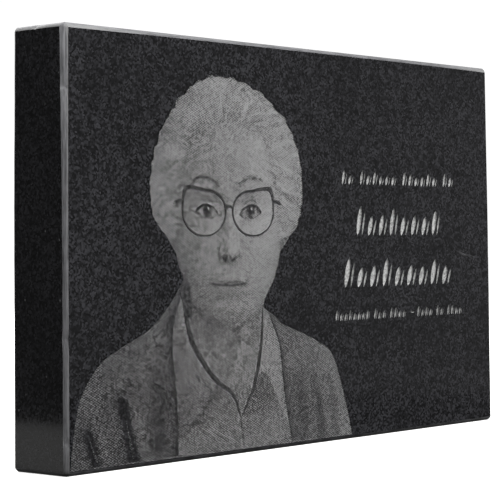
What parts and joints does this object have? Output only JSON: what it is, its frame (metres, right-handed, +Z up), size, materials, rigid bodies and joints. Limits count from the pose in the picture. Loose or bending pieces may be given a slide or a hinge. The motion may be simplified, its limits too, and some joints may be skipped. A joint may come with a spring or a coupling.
{
  "type": "memorial stone",
  "caption": "Low rectangular slab of polished black granite that stands on its long edge, with arrised edges, an etched head-and-shoulders figure and rows of shallow cut strokes.",
  "frame": {"origin": "centre of the underside, on the surface that the stone stands on", "axes": "+X along the width, to the right as the etched face is read; +Y from the etched face towards the back; +Z up"},
  "size_m": [0.254, 0.0264, 0.1524],
  "materials": {
    "polished_black_granite": "mirror polished, fine-grained black granite with honed arrises and a pale laser-etched field"
  },
  "bodies": {
    "root": {"granite_slab": "polished_black_granite"}
  },
  "joints": []
}
